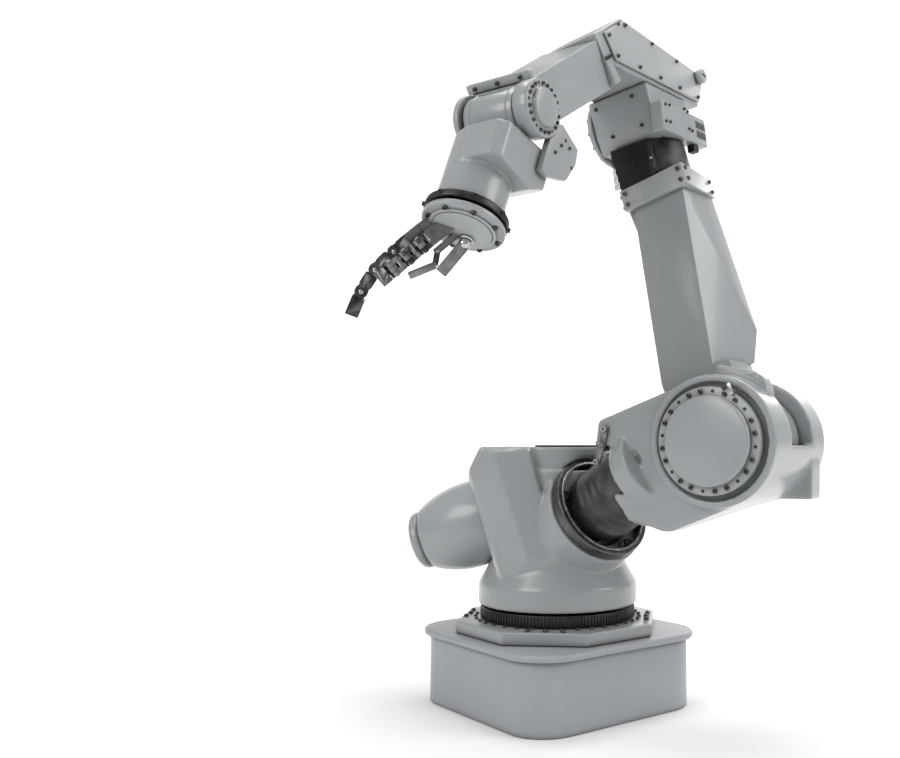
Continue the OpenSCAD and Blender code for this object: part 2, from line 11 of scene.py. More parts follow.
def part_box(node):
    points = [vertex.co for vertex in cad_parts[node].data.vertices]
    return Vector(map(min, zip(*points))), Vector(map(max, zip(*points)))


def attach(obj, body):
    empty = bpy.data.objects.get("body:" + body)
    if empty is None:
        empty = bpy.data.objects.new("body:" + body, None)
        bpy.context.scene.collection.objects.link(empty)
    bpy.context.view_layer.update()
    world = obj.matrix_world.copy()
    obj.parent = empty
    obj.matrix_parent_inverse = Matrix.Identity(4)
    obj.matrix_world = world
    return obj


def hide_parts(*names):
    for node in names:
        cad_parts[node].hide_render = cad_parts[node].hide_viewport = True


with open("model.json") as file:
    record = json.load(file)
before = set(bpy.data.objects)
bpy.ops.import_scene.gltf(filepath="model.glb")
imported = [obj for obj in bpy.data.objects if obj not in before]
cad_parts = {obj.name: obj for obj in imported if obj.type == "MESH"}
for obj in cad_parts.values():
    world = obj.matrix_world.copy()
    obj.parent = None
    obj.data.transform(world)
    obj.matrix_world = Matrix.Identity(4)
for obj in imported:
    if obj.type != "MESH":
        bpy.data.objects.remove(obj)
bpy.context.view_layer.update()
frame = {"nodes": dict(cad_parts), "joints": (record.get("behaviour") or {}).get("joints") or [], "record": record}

NODES = frame["nodes"]
JOINTS = {j["name"]: j for j in frame["joints"]}
BODY_OF = {n: body for body, names in frame["record"]["behaviour"]["bodies"].items() for n in names}
UP = Vector((0, 0, 1))

# The photograph's frame, focal length and optical axis, in pixels
IMAGE = (900, 758)
FOCAL_PX = 945
AXIS_PX = (587, 374)
SENSOR_MM = 36
CLIP_END = 60
CAMERA_AT = Vector((1.661, -1.286, 0.551))
VIEW_AZIMUTH = math.radians(50.5)
VIEW_PITCH = math.radians(4.36)
TO_CAMERA = Vector((math.sin(VIEW_AZIMUTH), -math.cos(VIEW_AZIMUTH), 0))
RIGHT = Vector((math.cos(VIEW_AZIMUTH), math.sin(VIEW_AZIMUTH), 0))
BACKWARD = TO_CAMERA * math.cos(VIEW_PITCH) - UP * math.sin(VIEW_PITCH)
CAMERA_UP = BACKWARD.cross(RIGHT)


def joint_axis(name):
    """Where a joint sits, and the direction of its axis."""
    return Vector(JOINTS[name]["pos_m"]), Vector(JOINTS[name]["axis"]).normalized()


# Materials
def new_material(name):
    mat = bpy.data.materials.new(name)
    mat.use_nodes = True
    return mat, mat.node_tree.nodes, mat.node_tree.links, mat.node_tree.nodes["Principled BSDF"]


def add_noise(nodes, links, scale, detail=3.0):
    """Noise over the object's own coordinates, in metres."""
    coords = nodes.new("ShaderNodeTexCoord")
    noise = nodes.new("ShaderNodeTexNoise")
    noise.inputs["Scale"].default_value = scale
    noise.inputs["Detail"].default_value = detail
    links.new(coords.outputs["Object"], noise.inputs["Vector"])
    return noise.outputs["Fac"]


# The middle share of a noise, over which most of its values fall
NOISE_LOW, NOISE_HIGH = 0.3, 0.7


def add_range(nodes, links, value, low, high, from_low=NOISE_LOW, from_high=NOISE_HIGH):
    ranger = nodes.new("ShaderNodeMapRange")
    ranger.inputs["From Min"].default_value = from_low
    ranger.inputs["From Max"].default_value = from_high
    ranger.inputs["To Min"].default_value = low
    ranger.inputs["To Max"].default_value = high
    links.new(value, ranger.inputs["Value"])
    return ranger.outputs["Result"]


def add_colours(nodes, links, value, low, high):
    ramp = nodes.new("ShaderNodeValToRGB")
    ramp.color_ramp.elements[0].position = NOISE_LOW
    ramp.color_ramp.elements[0].color = (*low, 1)
    ramp.color_ramp.elements[1].position = NOISE_HIGH
    ramp.color_ramp.elements[1].color = (*high, 1)
    links.new(value, ramp.inputs["Fac"])
    return ramp.outputs["Color"]


def add_bump(nodes, links, shader, height, strength, distance):
    bump = nodes.new("ShaderNodeBump")
    bump.inputs["Strength"].default_value = strength
    bump.inputs["Distance"].default_value = distance
    links.new(height, bump.inputs["Height"])
    links.new(bump.outputs["Normal"], shader.inputs["Normal"])


def add_painted_crevice_shade(nodes, links, shader, colour, reach, painted_shade):
    """Darkens the colour in corners and seams, within reach metres of another surface: painted shade from ambient
    occlusion.
    """
    shade = nodes.new("ShaderNodeAmbientOcclusion")
    shade.samples = 6
    shade.inputs["Distance"].default_value = reach
    mix = nodes.new("ShaderNodeMix")
    mix.data_type = "RGBA"
    mix.inputs["A"].default_value = (*painted_shade, 1)
    links.new(shade.outputs["AO"], mix.inputs["Factor"])
    links.new(colour, mix.inputs["B"])
    links.new(mix.outputs["Result"], shader.inputs["Base Color"])


def axial(nodes, links, axis):
    """Distance along an axis, over the object's own coordinates."""
    coords = nodes.new("ShaderNodeTexCoord")
    dot = nodes.new("ShaderNodeVectorMath")
    dot.operation = "DOT_PRODUCT"
    dot.inputs[1].default_value = axis
    links.new(coords.outputs["Object"], dot.inputs[0])
    return dot.outputs["Value"]


def tinted(colour, factor):
    return tuple(c * factor for c in colour)


def paint(name, colour, roughness, coat):
    """Sprayed paint on a casting: faint mottling, orange peel, painted shade in the corners."""
    mat, nodes, links, shader = new_material(name)
    mottle = add_noise(nodes, links, scale=5.0)
    base = add_colours(nodes, links, mottle, low=tinted(colour, 0.96), high=tinted(colour, 1.04))
    add_painted_crevice_shade(nodes, links, shader, base, reach=0.012, painted_shade=tinted(colour, 0.25))
    smear = add_noise(nodes, links, scale=18.0, detail=5.0)
    gloss = add_range(nodes, links, smear, low=roughness - 0.03, high=roughness + 0.05)
    links.new(gloss, shader.inputs["Roughness"])
    peel = add_noise(nodes, links, scale=520.0, detail=2.0)
    add_bump(nodes, links, shader, peel, strength=0.05, distance=0.0004)
    shader.inputs["Coat Weight"].default_value = coat
    shader.inputs["Coat Roughness"].default_value = 0.14
    shader.inputs["Specular IOR Level"].default_value = 0.4
    return mat


def bare_metal(name, colour, roughness):
    """Machined or cast metal with oily mottling, and painted shade in its corners."""
    mat, nodes, links, shader = new_material(name)
    streak = add_noise(nodes, links, scale=60.0, detail=6.0)
    base = add_colours(nodes, links, streak, low=tinted(colour, 0.72), high=tinted(colour, 1.25))
    add_painted_crevice_shade(nodes, links, shader, base, reach=0.006, painted_shade=tinted(colour, 0.2))
    gloss = add_range(nodes, links, streak, low=roughness - 0.08, high=roughness + 0.12)
    links.new(gloss, shader.inputs["Roughness"])
    add_bump(nodes, links, shader, streak, strength=0.12, distance=0.0006)
    shader.inputs["Metallic"].default_value = 0.9
    return mat


def turned_metal(name, colour, axis, pitch):
    """Turned steel, with tool grooves across its axis, blotches of oil and painted shade in its corners."""
    mat, nodes, links, shader = new_material(name)
    along = axial(nodes, links, axis)
    turns = nodes.new("ShaderNodeMath")
    turns.operation = "MULTIPLY"
    turns.inputs[1].default_value = 2 * math.pi / pitch
    links.new(along, turns.inputs[0])
    groove = nodes.new("ShaderNodeMath")
    groove.operation = "SINE"
    links.new(turns.outputs["Value"], groove.inputs[0])
    blotch = add_noise(nodes, links, scale=26.0, detail=6.0)
    base = add_colours(nodes, links, blotch, low=tinted(colour, 0.55), high=tinted(colour, 1.3))
    add_painted_crevice_shade(nodes, links, shader, base, reach=0.02, painted_shade=tinted(colour, 0.15))
    links.new(add_range(nodes, links, blotch, low=0.26, high=0.48), shader.inputs["Roughness"])
    add_bump(nodes, links, shader, groove.outputs["Value"], strength=0.35, distance=0.0005)
    shader.inputs["Metallic"].default_value = 0.85
    shader.inputs["Anisotropic"].default_value = 0.5
    return mat


def moulded(name, colour, roughness):
    """Matt moulded plastic or rubber with a fine grain."""
    mat, nodes, links, shader = new_material(name)
    mottle = add_noise(nodes, links, scale=40.0, detail=4.0)
    base = add_colours(nodes, links, mottle, low=tinted(colour, 0.8), high=tinted(colour, 1.25))
    links.new(base, shader.inputs["Base Color"])
    gloss = add_range(nodes, links, mottle, low=roughness - 0.06, high=roughness + 0.06)
    links.new(gloss, shader.inputs["Roughness"])
    grain = add_noise(nodes, links, scale=1400.0, detail=2.0)
    add_bump(nodes, links, shader, grain, strength=0.25, distance=0.0003)
    return mat


SHOULDER_AT, SHOULDER_AXIS = joint_axis("shoulder_roll")
ROLL_AXIS = joint_axis("arm_roll")[1]

GREY = paint("grey_paint", (0.325, 0.34, 0.35), roughness=0.33, coat=0.40)
PALE = paint("pale_paint", (0.38, 0.395, 0.405), roughness=0.36, coat=0.15)
PLINTH = paint("plinth_paint", (0.335, 0.35, 0.37), roughness=0.44, coat=0.2)
IRON = bare_metal("dark_iron", (0.055, 0.057, 0.06), roughness=0.42)
SHAFT = turned_metal("turned_shaft", (0.105, 0.109, 0.105), SHOULDER_AXIS, pitch=0.0035)
DRUM = turned_metal("brushed_drum", (0.09, 0.092, 0.09), ROLL_AXIS, pitch=0.0016)
BLACK = moulded("black_moulding", (0.012, 0.012, 0.013), roughness=0.5)
RUBBER = moulded("black_rubber", (0.016, 0.016, 0.017), roughness=0.62)
SCREW = bare_metal("blackened_screw", (0.10, 0.10, 0.105), roughness=0.34)
BRIGHT = bare_metal("zinc_screw", (0.50, 0.51, 0.52), roughness=0.26)
HAND = bare_metal("hand_metal", (0.24, 0.245, 0.25), roughness=0.30)
# Darker copy of the hand metal, on the palm, the shoulder ring and the lower finger's link; on the rear fingers it
# is painted shade
HAND_DARK_AND_SHADED = bare_metal("hand_dark_metal", (0.12, 0.123, 0.126), roughness=0.34)
CHROME = bare_metal("chrome", (0.62, 0.63, 0.64), roughness=0.16)

FINISH = {
    "plinth_box": PLINTH, "plinth_top_plate": PLINTH, "foot_plate": GREY, "slew_ring": IRON,
    "turret_top_cover": RUBBER, "shoulder_ring": HAND_DARK_AND_SHADED, "bearing_lugs": GREY, "shoulder_shaft": SHAFT,
    "elbow_pin": SHAFT, "upper_arm_flange": PALE, "roll_drum": DRUM, "roll_panel": BLACK,
    "side_cover": PALE, "vent_knob": PALE, "tool_ring": IRON, "tool_flange": GREY,
    "palm": HAND_DARK_AND_SHADED, "thumb": HAND, "lower_finger": HAND, "cable_bracket": HAND,
}


def finish_of(node):
    if node.startswith("front_finger"):
        return HAND
    # The rear fingers take the darker copy of the hand metal as painted shade: they are the front fingers' metal
    # in shadow
    if node.startswith("rear_finger"):
        return HAND_DARK_AND_SHADED
    return FINISH.get(node, GREY)


def dress(node):
    mesh = NODES[node].data
    mesh.materials.clear()
    mesh.materials.append(finish_of(node))


# Rounded edges of the castings
WELD_REACH = 0.00002
FLAT_DEG = 0.4


def weld(obj):
    """Joins a node's facets, and merges those that lie flat beside each other."""
    join = obj.modifiers.new("join", "WELD")
    join.merge_threshold = WELD_REACH
    flatten = obj.modifiers.new("flatten", "DECIMATE")
    flatten.decimate_type = "DISSOLVE"
    flatten.angle_limit = math.radians(FLAT_DEG)


def soften(node, width, segments=3, angle=28):
    """Rounds a node's edges over a width in metres."""
    obj = NODES[node]
    weld(obj)
    edge = obj.modifiers.new("edge", "BEVEL")
    edge.width = width
    edge.segments = segments
    edge.limit_method = "ANGLE"
    edge.angle_limit = math.radians(angle)
    edge.harden_normals = True
    shade_smooth(obj.data)


def smooth_skin(obj, grain, rounds):
    """Gives a casting a skin of even facets, with its edges and corners smoothed."""
    skin = obj.modifiers.new("skin", "REMESH")
    skin.mode = "VOXEL"
    skin.voxel_size = grain
    skin.use_smooth_shade = True
    smooth = obj.modifiers.new("smooth", "SMOOTH")
    smooth.factor = 0.5
    smooth.iterations = rounds


def shade_smooth(mesh):
    for p in mesh.polygons:
        p.use_smooth = True


def rod(bm, start, end, radius):
    """Closed round bar between two points."""
    along = Vector(end) - Vector(start)
    place = frame_at((Vector(start) + Vector(end)) / 2, along)
    bmesh.ops.create_cone(bm, cap_ends=True, segments=48, radius1=radius, radius2=radius, depth=along.length,
                          matrix=place)


def blend(name, nodes, grain, rounds, bars, cover=()):
    """One casting skin over several solids, bars and a cover's corners; it stands for the solids."""
    bm = bmesh.new()
    for node in nodes:
        bm.from_mesh(NODES[node].data)
    for bar in bars:
        rod(bm, *bar)
    if cover:
        bmesh.ops.convex_hull(bm, input=[bm.verts.new(p) for p in cover])
    mesh = bpy.data.meshes.new(name)
    bm.to_mesh(mesh)
    bm.free()
    mesh.materials.clear()
    mesh.materials.append(GREY)
    for p in mesh.polygons:
        p.material_index = 0
    obj = bpy.data.objects.new(name, mesh)
    bpy.context.scene.collection.objects.link(obj)
    smooth_skin(obj, grain, rounds)
    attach(obj, BODY_OF[nodes[0]])
    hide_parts(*nodes)


# Flat faces of the solids, found from their meshes
STRAIGHT = 0.9998
FACING = 0.6


class Face:
    """A flat face: its centre, outward normal, in-plane directions and half sizes."""

    def __init__(self, node, toward, plane_step=0.0005):
        mesh = NODES[node].data
        toward = Vector(toward).normalized()
        groups = {}
        for p in mesh.polygons:
            lean = p.normal.dot(toward)
            if lean > FACING:
                key = tuple(round(c, 2) for c in p.normal) + (round(p.normal.dot(p.center) / plane_step),)
                groups.setdefault(key, []).append((p, lean))
        best = max(groups.values(), key=lambda g: sum(p.area * lean**6 for p, lean in g))
        self.body = BODY_OF[node]
        self.normal = best[0][0].normal.copy()
        self.edges = self.boundary(mesh, [p for p, _ in best])
        longest = max(self.edges, key=lambda e: (e[1] - e[0]).length)
        level = UP.cross(self.normal)
        if level.length < 0.1:
            level = RIGHT
        self.u = (longest[1] - longest[0]).normalized()
        self.u *= 1 if self.u.dot(level) >= 0 else -1
        self.v = self.normal.cross(self.u)
        spread_u = [p.dot(self.u) for e in self.edges for p in e]
        spread_v = [p.dot(self.v) for e in self.edges for p in e]
        mid_u, mid_v = (max(spread_u) + min(spread_u)) / 2, (max(spread_v) + min(spread_v)) / 2
        height = self.edges[0][0].dot(self.normal)
        self.centre = self.u * mid_u + self.v * mid_v + self.normal * height
        self.half_u = (max(spread_u) - min(spread_u)) / 2
        self.half_v = (max(spread_v) - min(spread_v)) / 2

    @staticmethod
    def boundary(mesh, polygons):
        """Edges of the face that only one of its polygons has."""
        seen = {}
        for p in polygons:
            points = [mesh.vertices[i].co for i in p.vertices]
            for a, b in zip(points, points[1:] + points[:1]):
                key = frozenset((tuple(round(c, 5) for c in a), tuple(round(c, 5) for c in b)))
                seen.setdefault(key, []).append((a.copy(), b.copy()))
        return [pair[0] for pair in seen.values() if len(pair) == 1]

    def at(self, u, v, out=0.0):
        """A point of the face, u and v metres from its centre."""
        return self.centre + self.u * u + self.v * v + self.normal * out

    def outline(self):
        """The corners of the face's outer boundary, in order, with straight runs joined."""
        def key(p):
            return tuple(round(c, 5) for c in p)

        after = {key(a): b for a, b in self.edges}
        start = max((a for a, _ in self.edges), key=lambda p: (p - self.centre).length)
        loop, here = [start], after.get(key(start))
        while here is not None and key(here) != key(start):
            loop.append(here)
            here = after.get(key(here))
        corners = []
        for i, p in enumerate(loop):
            before, behind = (p - loop[i - 1]).normalized(), (loop[(i + 1) % len(loop)] - p).normalized()
            if before.dot(behind) < STRAIGHT:
                corners.append(p)
        return corners


def frame_at(origin, normal, u=None):
    """Matrix at the origin, with its z along the normal and x along u."""
    z = Vector(normal).normalized()
    x = Vector(u) if u is not None else (UP.cross(z) if abs(z.z) < 0.95 else RIGHT)
    x = (x - z * x.dot(z)).normalized()
    return Matrix.Translation(origin) @ Matrix((x, z.cross(x), z)).transposed().to_4x4()


def seen_at(pixel, point, normal):
    """Where the photograph's pixel falls on the plane through a point."""
    ray = RIGHT * (pixel[0] - AXIS_PX[0]) - CAMERA_UP * (pixel[1] - AXIS_PX[1]) - BACKWARD * FOCAL_PX
    return CAMERA_AT + ray * ((point - CAMERA_AT).dot(normal) / ray.dot(normal))


# Pieces built here
def add_piece(name, body, mesh_builder, material):
    """A mesh made by mesh_builder(bm), riding on a body."""
    bm = bmesh.new()
    mesh_builder(bm)
    bmesh.ops.recalc_face_normals(bm, faces=bm.faces)
    mesh = bpy.data.meshes.new(name)
    bm.to_mesh(mesh)
    bm.free()
    mesh.materials.append(material)
    obj = bpy.data.objects.new(name, mesh)
    bpy.context.scene.collection.objects.link(obj)
    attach(obj, body)
    return obj


def hexagon(radius, angle):
    """Distance to a hexagon's side, for its across-corner radius."""
    sector = math.pi / 3
    return radius * math.cos(sector / 2) / math.cos((angle % sector) - sector / 2)


def lathe(bm, place, profile, segments=24, close_top=True):
    """Rings of (radius, height, shape) round the z of place; shape takes a radius and an angle, or is None."""
    rings = []
    for radius, height, shape in profile:
        ring = []
        for k in range(segments):
            angle = 2 * math.pi * k / segments
            r = shape(radius, angle) if shape else radius
            ring.append(bm.verts.new(place @ Vector((r * math.cos(angle), r * math.sin(angle), height))))
        rings.append(ring)
    for low, high in zip(rings, rings[1:]):
        for k in range(segments):
            bm.faces.new((low[k], low[(k + 1) % segments], high[(k + 1) % segments], high[k]))
    if close_top:
        bm.faces.new(rings[-1])


HEAD_SIDES = 18


def cap_screw(bm, place, d):
    """Socket head cap screw standing on the face at place."""
    r, h = d / 2, d * 0.55
    lathe(bm, place, [(r, -h * 0.3, None), (r, h * 0.82, None), (r * 0.86, h, None),
                      (r * 0.52, h, hexagon), (r * 0.50, h * 0.45, hexagon)], HEAD_SIDES)


def dome_screw(bm, place, d):
    """Low button head screw."""
    r = d / 2
    lathe(bm, place, [(r, -r * 0.1, None), (r * 0.97, r * 0.18, None), (r * 0.75, r * 0.42, None),
                      (r * 0.42, r * 0.52, None), (r * 0.38, r * 0.50, hexagon),
                      (r * 0.36, r * 0.2, hexagon)], HEAD_SIDES)


def hole(bm, place, d):
    """Counterbore shown as a shallow dish with a rim; its callers give it dark iron, painted shade for the hole's
    depth.
    """
    r = d / 2
    lathe(bm, place, [(r * 1.1, 0, None), (r * 1.05, r * 0.12, None), (r * 0.9, r * 0.1, None),
                      (r * 0.8, r * 0.02, None)], HEAD_SIDES)


SHARP_DEG = 35


class Fasteners:
    """Small parts collected by body and material, joined into one mesh each."""

    def __init__(self):
        self.batches = {}

    def add(self, body, material, maker, place, *sizes):
        self.batches.setdefault((body, material.name), (material, []))[1].append((maker, place, sizes))

    def ring(self, face, radius, count, maker, material, *sizes, start=0.0, every=None):
        """count makers round a face's centre, or those whose index every(k) keeps."""
        for k in range(count):
            if every and not every(k):
                continue
            angle = start + 2 * math.pi * k / count
            at = face.at(radius * math.cos(angle), radius * math.sin(angle))
            self.add(face.body, material, maker, frame_at(at, face.normal, face.u), *sizes)

    def at(self, face, points, maker, material, *sizes):
        """One maker at each point (u, v) of a face."""
        for u, v in points:
            self.add(face.body, material, maker, frame_at(face.at(u, v), face.normal, face.u), *sizes)

    def seen(self, face, pixels, maker, material, *sizes):
        """One maker on a face at each pixel of the photograph."""
        for pixel in pixels:
            at = seen_at(pixel, face.centre, face.normal)
            self.add(face.body, material, maker, frame_at(at, face.normal, face.u), *sizes)

    def corners(self, face, inset, maker, material, *sizes):
        points = [(x * (face.half_u - inset), y * (face.half_v - inset)) for x in (-1, 1) for y in (-1, 1)]
        self.at(face, points, maker, material, *sizes)

    def along_outline(self, face, inset, pitch, maker, material, *sizes):
        """Makers at even steps along each side of a face's outline, inset from its edge."""
        corners = face.outline()
        turn = 1 if self.is_counterclockwise(corners, face) else -1
        inside = []
        for i, p in enumerate(corners):
            a, b = (corners[i - 1] - p).normalized(), (corners[(i + 1) % len(corners)] - p).normalized()
            sine = max(0.2, math.sqrt(max(0.0, (1 - a.dot(b)) / 2)))
            inward = 1 if b.cross(a).dot(face.normal) * turn > 0 else -1
            inside.append(p + (a + b).normalized() * inward * inset / sine)
        for i, a in enumerate(inside):
            b = inside[(i + 1) % len(inside)]
            steps = max(1, round((b - a).length / pitch))
            for k in range(steps):
                at = a.lerp(b, k / steps)
                self.add(face.body, material, maker, frame_at(at, face.normal, face.u), *sizes)

    @staticmethod
    def is_counterclockwise(corners, face):
        total = 0.0
        for a, b in zip(corners, corners[1:] + corners[:1]):
            total += (a - face.centre).cross(b - face.centre).dot(face.normal)
        return total > 0

    def build(self):
        """One piece for each body and material."""
        for (body, material_name), (material, parts) in self.batches.items():
            def make(bm, parts=parts):
                for maker, place, sizes in parts:
                    maker(bm, place, *sizes)
            obj = add_piece(f"{body}_{material_name}", body, make, material)
            shade_by_angle(obj, SHARP_DEG)


def shade_by_angle(obj, degrees):
    shade_smooth(obj.data)
    limit = math.radians(degrees)
    bm = bmesh.new()
    bm.from_mesh(obj.data)
    for e in bm.edges:
        e.smooth = e.calc_face_angle(0.0) < limit
    bm.to_mesh(obj.data)
    bm.free()


def block(bm, place, size, round_off):
    """Rounded box centred on place."""
    made = bmesh.ops.create_cube(bm, size=1.0, matrix=place @ Matrix.Diagonal((*size, 1)))
    edges = list({e for v in made["verts"] for e in v.link_edges})
    bmesh.ops.bevel(bm, geom=edges, offset=round_off, segments=2, affect="EDGES", profile=0.6)


for name in NODES:
    dress(name)

# Width of each node's rounded edges, in metres
EDGES = {
    "plinth_box": 0.004, "plinth_top_plate": 0.006, "foot_plate": 0.004, "slew_ring": 0.002,
    "motor_cover": 0.004, "motor_cap": 0.010, "shoulder_ring": 0.003, "bearing_lugs": 0.0015,
    "elbow_flange": 0.002, "elbow_cover": 0.006, "elbow_far_cover": 0.006, "cable_bracket": 0.004,
    "upper_arm": 0.006, "upper_arm_flange": 0.005, "roll_drum": 0.002, "roll_panel": 0.003,
    "head_housing": 0.006, "head_disc": 0.004, "head_motor_box": 0.004, "upper_housing": 0.005,
    "side_cover": 0.0025, "vent_knob": 0.004, "forearm_flange": 0.004, "forearm_box": 0.007,
    "forearm_end_plate": 0.003, "wrist_drum": 0.003, "wrist_disc": 0.004, "wrist_far_disc": 0.003,
    "wrist_clamp_lug": 0.004, "tool_ring": 0.002, "tool_flange": 0.003, "palm": 0.0015, "thumb": 0.003,
    "lower_finger": 0.002,
}
FINGER_EDGE = 0.0015
for name, width in EDGES.items():
    soften(name, width)
for name in NODES:
    if "_finger_" in name:
        soften(name, FINGER_EDGE, segments=2)

# Facet size in metres and rounds of smoothing of each casting's skin
BELL_SKIN = (0.0025, 8)
TURRET_SKIN = (0.0034, 11)
FORK_SKIN = (0.0034, 9)

# Radius of the shoulder shaft, and where the fork's root and the shaft's end lie along it
SHAFT_R = 0.075
ROOT_AT = 0.138
SHAFT_END = 0.176
SLEEVE_WALL = 0.009

# Bar that fills the turret's core: its ends and radius
TURRET_CORE = (Vector((0, 0, 0.25)), Vector((0, 0, 0.50)), 0.126)

# Cover on the gear housing and lip of the fork, by pixels of the photograph
COVER_RISE = 0.018
COVER_CORNERS = [(484, 450), (529, 450), (561, 564), (547, 578), (509, 584), (470, 476)]
COVER_RIDGE = [(492, 450), (527, 558)]
LIP_R = 0.006
LIP_CORNERS = [(644, 498), (616, 496), (637, 523)]


def gear_cover():
    """Corners of the ridged cover on the gear housing, its foot sunk into the housing."""
    face = Face("gear_housing", TO_CAMERA)
    raised = face.centre + face.normal * COVER_RISE
    foot = [seen_at(pixel, face.centre, face.normal) for pixel in COVER_CORNERS]
    ridge = [seen_at(pixel, raised, face.normal) for pixel in COVER_RIDGE]
    return foot + ridge + [p - face.normal * COVER_RISE for p in foot]


def fork_bars():
    """The sleeve round the shaft's end, and the rounded lip of the fork beside the shaft."""
    root = SHOULDER_AT + SHOULDER_AXIS * ROOT_AT
    sleeve = (root, SHOULDER_AT + SHOULDER_AXIS * (SHAFT_END + SLEEVE_WALL), SHAFT_R + SLEEVE_WALL)
    facing = (TO_CAMERA - SHOULDER_AXIS * TO_CAMERA.dot(SHOULDER_AXIS)).normalized()
    on_shaft = root + facing * SHAFT_R
    lip = [seen_at(pixel, on_shaft, facing) for pixel in LIP_CORNERS]
    return [sleeve] + [(a, b, LIP_R) for a, b in zip(lip, lip[1:])]


smooth_skin(NODES["wrist_bell"], *BELL_SKIN)
blend("turret_skin", ["turret_casting", "gear_housing"], *TURRET_SKIN, [TURRET_CORE], gear_cover())
blend("fork_skin", ["elbow_fork"], *FORK_SKIN, fork_bars())

small = Fasteners()


def slab(bm, place, size):
    """Box with narrow chamfers, resting on place."""
    block(bm, place @ Matrix.Translation((0, 0, size[2] / 2)), size, min(size) * 0.2)


ROUND_SIDES = 72
RIDGE_ROOT = 0.0005


def band(bm, place, inner, outer, height):
    """Flat ring standing on place."""
    edge = min(outer - inner, height) * 0.25
    profile = [(inner, 0), (inner, height - edge), (inner + edge, height), (outer - edge, height),
               (outer, height - edge), (outer, 0)]
    lathe(bm, place, [(r, h, None) for r, h in profile], ROUND_SIDES, close_top=False)


def ridges(bm, place, radius, start, step, count, height):
    """Turned ridges round the z of place."""
    foot, crest = radius - RIDGE_ROOT, radius + height
    for k in range(count):
        low = start + step * k
        lathe(bm, place, [(foot, low, None), (crest, low + step * 0.3, None), (crest, low + step * 0.6, None),
                          (foot, low + step * 0.9, None)], ROUND_SIDES, close_top=False)


def lobe(bm, place, width, reach, half):
    """Rounded knuckle web between two cheeks, flattened top and bottom."""
    hub, sides = 0.001, 32

    def flat(r, angle):
        return min(r, half / max(0.01, abs(math.sin(angle))))

    lathe(bm, place, [(hub, -width / 2, None), (reach, -width / 2, flat), (reach, width / 2, flat),
                      (hub, width / 2, None)], sides)


def ball(bm, place, radius):
    """Polished ball, centred on place."""
    step, sides = 15, 32
    angles = [math.radians(d) for d in range(-90, 91, step)]
    lathe(bm, place, [(radius * math.cos(a), radius * math.sin(a), None) for a in angles], sides)


def reach_along(node, axis, origin):
    """How far a node's mesh goes along an axis from an origin."""
    return max((v.co - origin).dot(axis) for v in NODES[node].data.vertices)


def around(share):
    """Direction in the ground plane, a share of a full turn from x."""
    return Vector((math.cos(2 * math.pi * share), math.sin(2 * math.pi * share), 0))


def toward_camera(axis):
    return axis if axis.dot(TO_CAMERA) > 0 else -axis


def dress_elbow():
    """Bolts and cover screws of the elbow, and the strap and bracket on the fork's root."""
    middle, axis = joint_axis("elbow_pitch")
    axis = toward_camera(axis)
    bolts, bolt_d, hole_d = 24, 0.0085, 0.006
    flange = Face("elbow_flange", axis)
    cover = Face("elbow_cover", axis)
    bolt_r = (flange.half_u + cover.half_u) / 2
    small.ring(flange, bolt_r, bolts, cap_screw, SCREW, bolt_d, every=lambda k: k % 3 != 1)
    # Open holes in dark iron: painted shade for their depth
    small.ring(flange, bolt_r, bolts, hole, IRON, hole_d, every=lambda k: k % 3 == 1)
    far_bolts, far_inset, far_bolt_d = 12, 0.010, 0.008
    far = Face("elbow_far_cover", -axis)
    small.ring(far, far.half_u - far_inset, far_bolts, cap_screw, SCREW, far_bolt_d)
    clip_size, clip_screw_d = (0.022, 0.008, 0.006), 0.009
    small.seen(flange, [(731, 389)], slab, BRIGHT, clip_size)
    small.seen(flange, [(724, 388), (739, 391)], dome_screw, SCREW, clip_screw_d)
    bracket_inset, bracket_screw_d = 0.0055, 0.007
    small.corners(Face("cable_bracket", TO_CAMERA), bracket_inset, cap_screw, BRIGHT, bracket_screw_d)
    root_out, strap_lap, strap_w, strap_t = 0.140, 0.008, 0.013, 0.006
    strap = [seen_at(pixel, middle + axis * root_out, axis) for pixel in ((606, 429), (603, 444), (598, 462))]
    for low, high in zip(strap[1:], strap):
        place = frame_at((low + high) / 2, axis, high - low)
        small.add("elbow_link", HAND, slab, place, ((high - low).length + strap_lap, strap_w, strap_t))
    for at, d in zip(strap, (0.011, 0.009, 0.011)):
        small.add("elbow_link", BRIGHT, cap_screw, frame_at(at + axis * strap_t, axis), d)


def dress_shoulder():
    """Screws on the bearing lugs, turned ridges on the shaft, and a bright lip on the shoulder ring."""
    lug_reach, lug_screw_d, level = 0.012, 0.012, 0.99
    tops = []
    for p in NODES["bearing_lugs"].data.polygons:
        if p.normal.dot(SHOULDER_AXIS) > level:
            near = [group for group in tops if (group[0].center - p.center).length < lug_reach]
            if near:
                near[0].append(p)
            else:
                tops.append([p])
    for polygons in tops:
        area = sum(p.area for p in polygons)
        centre = sum((p.center * p.area for p in polygons), Vector()) / area
        small.add("turret", SCREW, cap_screw, frame_at(centre, SHOULDER_AXIS), lug_screw_d)
    ridge_from, ridge_step, ridge_count, ridge_h = 0.012, 0.0042, 19, 0.0009
    small.add("elbow_link", SHAFT, ridges, frame_at(SHOULDER_AT, SHOULDER_AXIS), SHAFT_R, ridge_from,
              ridge_step, ridge_count, ridge_h)
    lip_inner, lip_outer, lip_h = 0.0135, 0.009, 0.0018
    front = SHOULDER_AT + SHOULDER_AXIS * reach_along("shoulder_ring", SHOULDER_AXIS, SHOULDER_AT)
    arms = [v.co - SHOULDER_AT for v in NODES["shoulder_ring"].data.vertices]
    rim = max((arm - SHOULDER_AXIS * arm.dot(SHOULDER_AXIS)).length for arm in arms)
    small.add("turret", BRIGHT, band, frame_at(front, SHOULDER_AXIS), rim - lip_inner, rim - lip_outer, lip_h)


